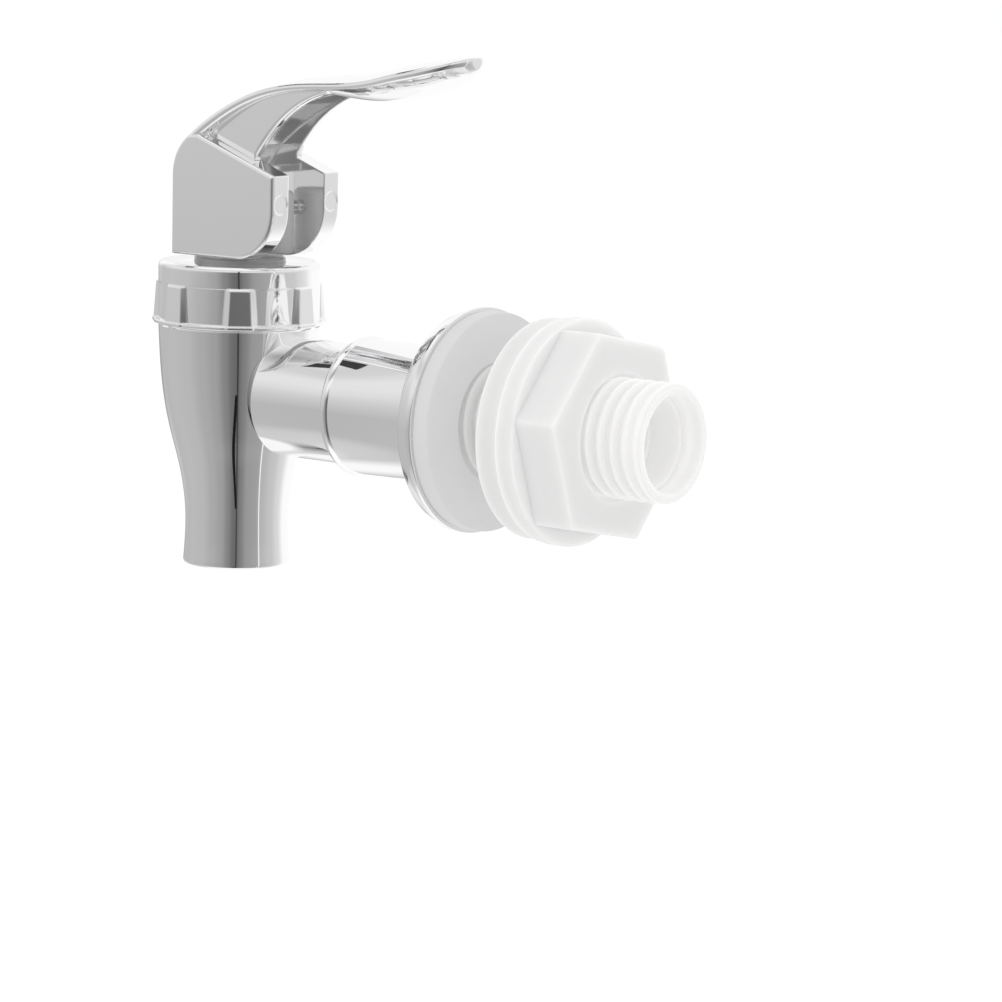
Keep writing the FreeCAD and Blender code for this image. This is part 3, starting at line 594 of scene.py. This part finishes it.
def smooth_side(stops, count):
    """Natural cubic curve through (height, radius) stops, as count + 1 points."""
    heights = [s[0] for s in stops]
    radii = [s[1] for s in stops]
    gaps = [b - a for a, b in zip(heights, heights[1:])]
    slopes = [(b - a) / g for a, b, g in zip(radii, radii[1:], gaps)]
    bends = [0.0] * len(stops)
    weights = [0.0] * len(stops)
    for k in range(1, len(stops) - 1):
        pivot = 2 * (gaps[k - 1] + gaps[k]) - gaps[k - 1] * weights[k - 1]
        weights[k] = gaps[k] / pivot
        bends[k] = (6 * (slopes[k] - slopes[k - 1]) - gaps[k - 1] * bends[k - 1]) / pivot
    for k in range(len(stops) - 2, 0, -1):
        bends[k] -= weights[k] * bends[k + 1]
    out = []
    for i in range(count + 1):
        height = heights[0] + (heights[-1] - heights[0]) * i / count
        k = min(sum(height >= h for h in heights[1:-1]), len(gaps) - 1)
        a = (heights[k + 1] - height) / gaps[k]
        b = 1 - a
        curve = ((a ** 3 - a) * bends[k] + (b ** 3 - b) * bends[k + 1]) * gaps[k] ** 2 / 6
        out.append((height, a * radii[k] + b * radii[k + 1] + curve))
    return out


def arc_between(start, end, bulge, steps=8):
    """Points of an arc between two profile points, pushed out to the left of its chord."""
    start = Vector(start)
    chord = Vector(end) - start
    half = chord.length / 2
    radius = (half * half + bulge * bulge) / (2 * abs(bulge))
    sweep = 2 * math.asin(half / radius)
    side = Vector((-chord.y, chord.x)).normalized() * math.copysign(1, bulge)
    centre = start + chord / 2 - side * (radius - abs(bulge))
    out = []
    for k in range(steps + 1):
        turn = sweep * (k / steps - 0.5)
        across = side * radius * math.cos(turn)
        out.append(tuple(centre + across + chord.normalized() * radius * math.sin(turn)))
    return out


def turned_form(profile, upright):
    """Closed form turned from (along, radius) points, round the body axis or the shank axis."""
    points = []
    for along, radius in profile:
        for j in range(BODY_COLUMNS):
            angle = 2 * math.pi * j / BODY_COLUMNS
            if upright:
                points.append((AXIS_X + radius * math.cos(angle), radius * math.sin(angle), along))
            else:
                points.append((along, radius * math.cos(angle), radius * math.sin(angle)))
    return points, ring_faces(len(profile), BODY_COLUMNS, True)


def as_object(points, faces):
    """Plain object for cutting only."""
    form = bpy.data.objects.new("cutting", closed_mesh("cutting", points, faces))
    bpy.context.scene.collection.objects.link(form)
    return form


def cut_away(form, tool):
    """Points and faces of a form after a tool is cut out of it."""
    body = as_object(*form)
    cutter = as_object(*tool)
    cut = body.modifiers.new("cut", "BOOLEAN")
    cut.operation = "DIFFERENCE"
    cut.solver = "EXACT"
    cut.object = cutter
    left = bpy.data.meshes.new_from_object(body.evaluated_get(bpy.context.evaluated_depsgraph_get()))
    points = [tuple(v.co / MM) for v in left.vertices]
    faces = [tuple(p.vertices) for p in left.polygons]
    bpy.data.objects.remove(body)
    bpy.data.objects.remove(cutter)
    return points, faces


# %% [markdown]
# The bulb's side is one smooth curve through six radii, from the rounded lip of
# the spout to the shoulder. Inside lie the chamber of the valve, the raised ring
# on which the silicone cup seals, and the spout's bore. The waterway from the arm
# is cut through the side.

# %% Bulb
SPOUT_RADIUS = 7.55
SPOUT_BORE = 4.85
LIP_ROUND = 0.5
SHOULDER_Z = 9.3
SHOULDER_RADIUS = 11.35
SIDE_STOPS = [
    (SPOUT_END_Z + LIP_ROUND, SPOUT_RADIUS), (-17.8, 7.3), (-10.0, 8.4),
    (-5.0, 9.7), (1.0, 10.75), (SHOULDER_Z, SHOULDER_RADIUS),
]
SIDE_STEPS = 72
NECK_RADIUS = 9.9
NECK_TOP_Z = 14.6
NECK_FOOT_ROUND = 0.1
NECK_TOP_ROUND = 0.3
CHAMBER_RADIUS = 8.4
CHAMBER_TAPER_Z = 2.5
CHAMBER_FLOOR_RADIUS = 7.0
CHAMBER_FLOOR_Z = -8.0
SEAT_Z = -7.4
SEAT_WIDTH = 0.8
ARM_BORE = 5.5
WATERWAY_REACH = 14.0

lip = arc_between(
    (SPOUT_END_Z, SPOUT_RADIUS - LIP_ROUND),
    (SPOUT_END_Z + LIP_ROUND, SPOUT_RADIUS),
    LIP_ROUND * (1 - math.cos(math.pi / 4)))
neck = eased([
    (SHOULDER_Z, SHOULDER_RADIUS, 0),
    (SHOULDER_Z, NECK_RADIUS, NECK_FOOT_ROUND),
    (NECK_TOP_Z, NECK_RADIUS, NECK_TOP_ROUND),
    (NECK_TOP_Z, CHAMBER_RADIUS, 0),
])
seat_outer = SPOUT_BORE + SEAT_WIDTH
chamber_side = [(CHAMBER_TAPER_Z, CHAMBER_RADIUS), (CHAMBER_FLOOR_Z, CHAMBER_FLOOR_RADIUS)]
seat = [(CHAMBER_FLOOR_Z, seat_outer), (SEAT_Z, seat_outer), (SEAT_Z, SPOUT_BORE)]
outside = lip + smooth_side(SIDE_STOPS, SIDE_STEPS)[1:] + neck[1:]
bulb = turned_form(outside + chamber_side + seat + [(SPOUT_END_Z, SPOUT_BORE)], True)
waterway = turned_form([
    (AXIS_X, NEAR_AXIS),
    (AXIS_X, ARM_BORE),
    (AXIS_X + WATERWAY_REACH, ARM_BORE),
    (AXIS_X + WATERWAY_REACH, NEAR_AXIS),
], False)
bulb_points, bulb_faces = cut_away(bulb, waterway)
print("bulb", len(bulb_faces), "faces")

# %% [markdown]
# The arm's near end is bevelled steeply back to the bulb, so a round edge shows
# there from the front, as in the photograph. A round ring marks the step from the
# arm to the wider sleeve.

# %% Arm
ARM_RADIUS = 8.3
ARM_EDGE_X = AXIS_X + 9.4
ARM_EDGE_ROUND = 0.3
BEVEL_RUN = 1.5
BEVEL_SLOPE = 1.2
ROOT_LENGTH = 2.0
BEAD_X = AXIS_X + 23.5
BEAD_HALF = 0.85
BEAD_RADIUS = 9.65
BEAD_STEPS = 16
SLEEVE_RADIUS = 9.3

root = ARM_RADIUS - BEVEL_RUN * BEVEL_SLOPE
root_x = ARM_EDGE_X - BEVEL_RUN
bead_foot = (ARM_RADIUS + BEAD_RADIUS) / 2
bead = arc_between(
    (BEAD_X - BEAD_HALF, bead_foot),
    (BEAD_X + BEAD_HALF, bead_foot),
    BEAD_RADIUS - bead_foot,
    BEAD_STEPS)
arm_side = eased([
    (root_x - ROOT_LENGTH, ARM_BORE, 0),
    (root_x - ROOT_LENGTH, root, 0),
    (root_x, root, 0),
    (ARM_EDGE_X, ARM_RADIUS, ARM_EDGE_ROUND),
    (BEAD_X - BEAD_HALF, ARM_RADIUS, FINE_ROUND),
])
arm_side += [(x, r) for x, r in bead if x < BEAD_X or r > SLEEVE_RADIUS]
print("arm starts", round(ARM_EDGE_X - AXIS_X, 1), "mm from the upright axis")

# %% [markdown]
# The sleeve ends in the flange that presses on the outer gasket. It steps out
# from a slightly hollow hub over a low dome and a slanting band to a thin
# upright rim. The socket in its middle takes the shank.

# %% Flange
FLANGE_FACE_X = -2.5
FLANGE_RADIUS = 15.3
FLANGE_FACE_ROUND = 0.15
RIM_WIDTH = 0.75
BAND_WIDTH = 2.0
BAND_RADIUS = 14.5
BAND_ROUND = 0.28
DOME_WIDTH = 0.45
DOME_RADIUS = 12.0
HUB_WIDTH = 1.9
HUB_RADIUS = 10.0
HUB_HOLLOW = 0.3
HUB_FOOT_ROUND = 0.15
SOCKET_RADIUS = 8.05
SOCKET_END_X = -20.3

rim_x = FLANGE_FACE_X - RIM_WIDTH
band_x = rim_x - BAND_WIDTH
dome_x = band_x - DOME_WIDTH
hub_x = dome_x - HUB_WIDTH
hub = arc_between((hub_x, HUB_RADIUS), (dome_x, DOME_RADIUS), -HUB_HOLLOW)
flange_side = eased([
    (hub_x, SLEEVE_RADIUS, HUB_FOOT_ROUND),
    (hub_x, HUB_RADIUS, FINE_ROUND),
    *[(x, r, 0) for x, r in hub[1:]],
    (band_x, BAND_RADIUS, BAND_ROUND),
    (rim_x, FLANGE_RADIUS, FINE_ROUND),
    (FLANGE_FACE_X, FLANGE_RADIUS, FLANGE_FACE_ROUND),
    (FLANGE_FACE_X, SOCKET_RADIUS, 0),
    (SOCKET_END_X, SOCKET_RADIUS, 0),
    (SOCKET_END_X, ARM_BORE, 0),
])
print("flange", 2 * FLANGE_RADIUS, "mm across")

# %% [markdown]
# The room of the chamber is cut out of the arm as well, and both forms together
# make the one moulded piece.

# %% Join the body
CUT_ABOVE_NECK = 0.4
BODY_SHARP_DEG = 30

cut_top = NECK_TOP_Z + CUT_ABOVE_NECK
room = turned_form(
    [(cut_top, NEAR_AXIS), (cut_top, CHAMBER_RADIUS), *chamber_side, (CHAMBER_FLOOR_Z, NEAR_AXIS)],
    True)
arm_points, arm_faces = cut_away(turned_form(arm_side + flange_side, False), room)
arm_first = len(bulb_points)
make_piece(
    "spigot_body",
    bulb_points + arm_points,
    bulb_faces + [tuple(arm_first + i for i in face) for face in arm_faces],
    "tap",
    "tap_body",
    BODY_SHARP_DEG)

# %% [markdown]
# The shank's thread is one continuous helix, 2 mm a turn, so its radius depends
# on the place along the axis and on the angle together. A grid of rings follows
# that rule. Each ring is a circle that dips where it crosses the groove. The
# thread of the nut is the same rule with a clearance, so that the two stay in mesh
# while the nut turns. Both ends of a thread run out smoothly.

# %% Thread rule
PITCH = 2.0
CREST_RADIUS = 8.0
THREAD_DEPTH = 0.75
GROOVE_SHARE = 0.78
FLANK_SHARE = 0.5
THREAD_COLUMNS = 72
ROWS_A_TURN = 10


def groove(along, angle):
    """Depth of the groove, 0 at the crest and 1 at its root."""
    place = (along / PITCH - angle / (2 * math.pi)) % 1.0
    from_root = abs(2 * place - 1)
    return min(max((GROOVE_SHARE - from_root) / FLANK_SHARE, 0.0), 1.0)


def run_out(along, low, high, reach):
    """1 along a thread, falling to 0 over its reach at both ends."""
    share = min(along - low, high - along) / reach
    return min(max(share, 0.0), 1.0)


def thread_rings(low, high, crest, reach, angles):
    """Rings of a thread between two places, run out at both ends."""
    rows = round((high - low) / PITCH * ROWS_A_TURN)
    rings = []
    for i in range(rows + 1):
        along = low + (high - low) * i / rows
        depth = THREAD_DEPTH * run_out(along, low, high, reach)
        rings.append([(along, crest - depth * groove(along, a), a) for a in angles])
    return rings


def plain_ring(along, radius, angles):
    """Ring of one radius."""
    return [(along, radius, a) for a in angles]


def across_x(rings):
    """Points in space from rings round the shank axis."""
    return [(x, r * math.cos(a), r * math.sin(a)) for ring in rings for x, r, a in ring]


# %% [markdown]
# The shank is that thread round a stepped bore. Its outer end has a chamfer and a
# wide mouth, and its inner end sits in the sleeve.

# %% Shank
SHANK_START_X = -18.6
SHANK_END_X = 29.4
SHANK_CHAMFER = 0.45
SHANK_END_ROUND = 0.3
SHANK_START_ROUND = 0.1
SHANK_BORE = 5.6
STEP_BORE = 6.1
STEP_DEPTH = 8.0
STEP_ROUND = 0.15
MOUTH_BORE = 6.6
MOUTH_DEPTH = 3.4
MOUTH_ROUND = 0.25
THREAD_START_X = -1.6
THREAD_RUN_OUT = 1.2

inside = eased([
    (SHANK_END_X, CREST_RADIUS - SHANK_CHAMFER, SHANK_END_ROUND),
    (SHANK_END_X, MOUTH_BORE, MOUTH_ROUND),
    (SHANK_END_X - MOUTH_DEPTH, MOUTH_BORE, 0),
    (SHANK_END_X - MOUTH_DEPTH, STEP_BORE, STEP_ROUND),
    (SHANK_END_X - STEP_DEPTH, STEP_BORE, 0),
    (SHANK_END_X - STEP_DEPTH, SHANK_BORE, STEP_ROUND),
    (SHANK_START_X, SHANK_BORE, 0),
    (SHANK_START_X, CREST_RADIUS - SHANK_START_ROUND, SHANK_START_ROUND),
])
shank_angles = [2 * math.pi * j / THREAD_COLUMNS for j in range(THREAD_COLUMNS)]
shank_rings = thread_rings(
    THREAD_START_X, SHANK_END_X - SHANK_CHAMFER, CREST_RADIUS, THREAD_RUN_OUT, shank_angles)
shank_rings += [plain_ring(x, r, shank_angles) for x, r in inside]
shank_piece = make_piece(
    "threaded_shank",
    across_x(shank_rings),
    ring_faces(len(shank_rings), THREAD_COLUMNS, True),
    "tap",
    "shank")

# %% [markdown]
# The shank is frosted plastic. In the short gap for the tank wall its colour, and
# the light it lets through, are painted darker as shade between the gaskets, and
# further out they go back to the full tone, so its tone changes along its length.

# %% Painted shade along the shank
# Painted shade: full darkening up to the first place along the shank, none from the second.
GAP_SHADE_UNTIL = 7.0
GAP_SHADE_GONE_FROM = 11.0
GAP_SHADE_SHARE = 0.78

shank_with_gap_shade = FINISH["frosted_plastic"].copy()
shank_with_gap_shade.name = "shank_with_gap_shade"
tree = shank_with_gap_shade.node_tree
place = tree.nodes.new("ShaderNodeTexCoord")
along = tree.nodes.new("ShaderNodeSeparateXYZ")
link(tree, place, "Object", along, 0)
# Painted shade: the colour and the let-through light are darkened in the tank-wall gap.
tone = tree.nodes.new("ShaderNodeMapRange")
tone.inputs["From Min"].default_value = GAP_SHADE_UNTIL * MM
tone.inputs["From Max"].default_value = GAP_SHADE_GONE_FROM * MM
tone.inputs["To Min"].default_value = GAP_SHADE_SHARE
tone.inputs["To Max"].default_value = 1.0
link(tree, along, "X", tone, "Value")
shade = tree.nodes.new("ShaderNodeMix")
shade.data_type = "RGBA"
shade.blend_type = "MULTIPLY"
shade.inputs["Factor"].default_value = 1.0
shader = tree.nodes["Principled BSDF"]
plain = shader.inputs["Base Color"].links[0].from_socket
tree.links.new(plain, shade.inputs["A"])
link(tree, tone, 0, shade, "B")
link(tree, shade, "Result", shader, "Base Color")
link(tree, shade, "Result", shader, "Emission Color")
shank_piece.data.materials[0] = shank_with_gap_shade
print("shank tone from", GAP_SHADE_SHARE, "to 1")

# %% [markdown]
# The nut is moulded with six flats over a round flange. Its outside is a row of
# rings whose radius follows the six flats and their rounded corners, closed
# by the thread inside. Extra columns stand near each corner, where it bends most.

# %% Nut
NUT_START_X = 11.5
NUT_FLANGE_END_X = 14.4
NUT_END_X = 20.6
NUT_FLANGE_RADIUS = 15.2
NUT_FLANGE_ROUND = 0.3
NUT_FLAT = 12.9
NUT_CORNER_ROUND = 0.6
NUT_FOOT_ROUND = 0.06
NUT_END_ROUND = 0.35
NUT_TURN_DEG = 48.6
NUT_CLEARANCE = 0.1
NUT_BORE_CHAMFER = 0.1
NUT_LEAD = 0.6
NUT_RUN_OUT = 1.0
NUT_SIDES = 6
HALF_SECTOR_DEG = 180 / NUT_SIDES
END_ROUND_TURNS_DEG = (0, 30, 60, 90)
FLAT_STOPS = range(-25, 26, 5)
CORNER_STOPS = (27.2, 28.4, 29.2)


def hex_radius(angle, inset):
    """Radius of the six flats with rounded corners, drawn in by an inset."""
    half_sector = math.radians(HALF_SECTOR_DEG)
    flat = NUT_FLAT - inset
    off = math.degrees(angle) - NUT_TURN_DEG
    aside = math.radians(abs((off % (2 * HALF_SECTOR_DEG)) - HALF_SECTOR_DEG))
    ease = NUT_CORNER_ROUND
    if math.tan(aside) < (flat - ease) * math.tan(half_sector) / flat:
        return flat / math.cos(aside)
    centre = (flat - ease) / math.cos(half_sector)
    away = half_sector - aside
    return centre * math.cos(away) + math.sqrt(ease ** 2 - (centre * math.sin(away)) ** 2)


def hex_ring(along, inset, angles):
    """Ring that follows the six flats."""
    return [(along, hex_radius(a, inset), a) for a in angles]


sectors = [NUT_TURN_DEG + (2 * k + 1) * HALF_SECTOR_DEG for k in range(NUT_SIDES)]
sector_stops = [-HALF_SECTOR_DEG, *(-s for s in CORNER_STOPS[::-1]), *FLAT_STOPS, *CORNER_STOPS]
nut_angles = [math.radians(middle + stop) for middle in sectors for stop in sector_stops]
nut_bore = CREST_RADIUS + NUT_CLEARANCE
nut_flange = eased([
    (NUT_START_X, nut_bore + NUT_BORE_CHAMFER, 0),
    (NUT_START_X, NUT_FLANGE_RADIUS, NUT_FLANGE_ROUND),
    (NUT_FLANGE_END_X, NUT_FLANGE_RADIUS, NUT_FLANGE_ROUND),
    (NUT_FLANGE_END_X, nut_bore, 0),
])
nut_rings = [plain_ring(x, r, nut_angles) for x, r in nut_flange[:-1]]
nut_rings.append(hex_ring(NUT_FLANGE_END_X, -NUT_FOOT_ROUND, nut_angles))
nut_rings.append(hex_ring(NUT_FLANGE_END_X + NUT_FOOT_ROUND, 0, nut_angles))
for turn_deg in END_ROUND_TURNS_DEG:
    turn = math.radians(turn_deg)
    along = NUT_END_X - NUT_END_ROUND * (1 - math.sin(turn))
    nut_rings.append(hex_ring(along, NUT_END_ROUND * (1 - math.cos(turn)), nut_angles))
nut_rings.append(plain_ring(NUT_END_X, nut_bore + NUT_LEAD, nut_angles))
inner_thread = thread_rings(
    NUT_START_X + NUT_BORE_CHAMFER, NUT_END_X - NUT_LEAD, nut_bore, NUT_RUN_OUT, nut_angles)
nut_rings += inner_thread[::-1]
make_piece(
    "threaded_nut",
    across_x(nut_rings),
    ring_faces(len(nut_rings), len(nut_angles), True),
    "nut",
    "mounting_nut")

# %% [markdown]
# Two soft pieces work inside the bulb. The silicone cup is clamped by its rim and
# lifted by its floor, so its thin wall gives way between them. Its wall has many
# rings.

# %% Silicone cup
CUP_INSIDE_Z = -2.2
CUP_INSIDE_ROUND = 0.2
CUP_RADIUS = 6.3
CUP_WALL = 0.9
CUP_FLOOR_ROUND = 0.4
CUP_RIM_GAP = 0.02
CUP_RIM_THICKNESS = 1.2
CUP_RIM_RADIUS = 9.55
CUP_RIM_FILLET = 0.9
CUP_RIM_ROUND = 0.15
BUTTON_RADIUS = 3.35
BUTTON_LOW_Z = -5.25
BUTTON_TOP_Z = -3.75
BUTTON_NECK_RADIUS = 1.95
BUTTON_NECK_ROUND = 0.1
WALL_STEPS = 24


def wall(start, end, radius):
    """Even points along a straight wall."""
    return [(start + (end - start) * k / WALL_STEPS, radius) for k in range(1, WALL_STEPS)]


cup_inner = CUP_RADIUS - CUP_WALL
cup_rim_low = NECK_TOP_Z + CUP_RIM_GAP
cup_top = cup_rim_low + CUP_RIM_THICKNESS
cup_outside = eased([
    (SEAT_Z, NEAR_AXIS, 0),
    (SEAT_Z, CUP_RADIUS, CUP_FLOOR_ROUND),
    (cup_rim_low, CUP_RADIUS, CUP_RIM_FILLET),
    (cup_rim_low, CUP_RIM_RADIUS, CUP_RIM_ROUND),
    (cup_top, CUP_RIM_RADIUS, CUP_RIM_ROUND),
    (cup_top, cup_inner, CUP_RIM_ROUND),
])
cup_inside = eased([
    (CUP_INSIDE_Z, cup_inner, CUP_INSIDE_ROUND),
    (CUP_INSIDE_Z, BUTTON_NECK_RADIUS, BUTTON_NECK_ROUND),
    (BUTTON_TOP_Z, BUTTON_NECK_RADIUS, 0),
    (BUTTON_TOP_Z, BUTTON_RADIUS, 0),
    (BUTTON_LOW_Z, BUTTON_RADIUS, 0),
    (BUTTON_LOW_Z, NEAR_AXIS, 0),
])
# The floor takes one point near the axis and the points of its outer round.
floor_end = 1 + ROUND_STEPS + 1
cup_profile = cup_outside[:floor_end]
cup_profile += wall(SEAT_Z + CUP_FLOOR_ROUND, cup_rim_low - CUP_RIM_FILLET, CUP_RADIUS)
cup_profile += cup_outside[floor_end:]
cup_profile += wall(cup_top - CUP_RIM_ROUND, CUP_INSIDE_Z + CUP_INSIDE_ROUND, cup_inner)
cup_profile += cup_inside
cup_points, cup_faces = turned_form(cup_profile, True)
cup = make_piece("silicone_cup", cup_points, cup_faces, None, "seat_cup")
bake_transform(cup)

# %% [markdown]
# The return spring stands on the stem's shoulder and is pressed against the
# guide.

# %% Return spring
SPRING_LOW_Z = 2.95
SPRING_HIGH_Z = 15.37
SPRING_RADIUS = 4.45
SPRING_WIRE_RADIUS = 0.42
SPRING_TURNS = 5.5
SPRING_STEPS_A_TURN = 32
SPRING_SIDES = 12

spring_steps = round(SPRING_TURNS * SPRING_STEPS_A_TURN)
pitch_rise = (SPRING_HIGH_Z - SPRING_LOW_Z) / (2 * math.pi * SPRING_TURNS)
lean = math.atan2(pitch_rise, SPRING_RADIUS)
coil_points = []
for i in range(spring_steps + 1):
    turn = 2 * math.pi * SPRING_TURNS * i / spring_steps
    height = SPRING_LOW_Z + pitch_rise * turn
    outward = Vector((math.cos(turn), math.sin(turn), 0))
    forward = Vector((-math.sin(turn), math.cos(turn), 0)) * math.cos(lean)
    forward.z = math.sin(lean)
    upward = outward.cross(forward)
    centre = Vector((AXIS_X, 0, height)) + outward * SPRING_RADIUS
    for j in range(SPRING_SIDES):
        side = 2 * math.pi * j / SPRING_SIDES
        from_centre = outward * math.cos(side) + upward * math.sin(side)
        coil_points.append(tuple(centre + from_centre * SPRING_WIRE_RADIUS))
coil_faces = ring_faces(spring_steps + 1, SPRING_SIDES, False)
coil_faces.append(tuple(range(SPRING_SIDES)))
coil_faces.append(tuple(spring_steps * SPRING_SIDES + j for j in range(SPRING_SIDES)))
coil = make_piece("return_coil", coil_points, coil_faces, "valve", "return_spring")
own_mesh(coil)
